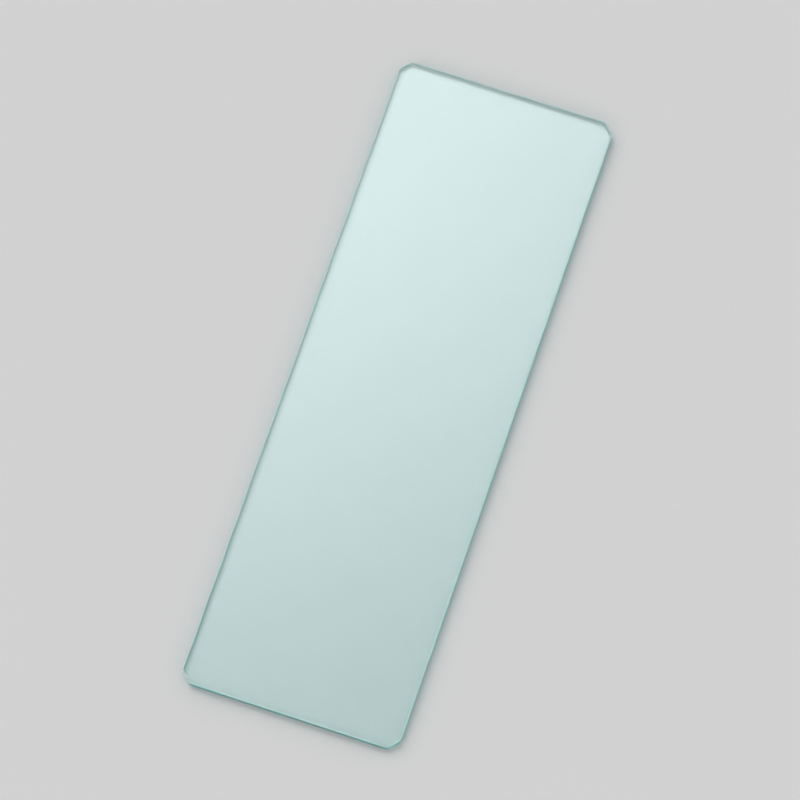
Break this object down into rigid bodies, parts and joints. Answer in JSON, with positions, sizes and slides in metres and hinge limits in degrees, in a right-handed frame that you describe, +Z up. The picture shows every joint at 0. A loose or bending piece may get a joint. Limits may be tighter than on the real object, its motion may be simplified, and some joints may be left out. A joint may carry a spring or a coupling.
{
  "type": "microscope slide",
  "caption": "Flat rectangular pane of clear glass with ground edges and cut corners, which holds a specimen under a microscope.",
  "frame": {"origin": "centre of the underside, where the slide lies on a microscope's stage", "axes": "+X along the length, +Y across the width, +Z up through the thickness to the face that carries the specimen"},
  "size_m": [0.0762, 0.0254, 0.0011],
  "materials": {
    "glass": "clear soda-lime glass with a faint green-blue tint, polished faces, finely ground edges"
  },
  "bodies": {
    "root": {"glass_slide": "glass"}
  },
  "joints": []
}
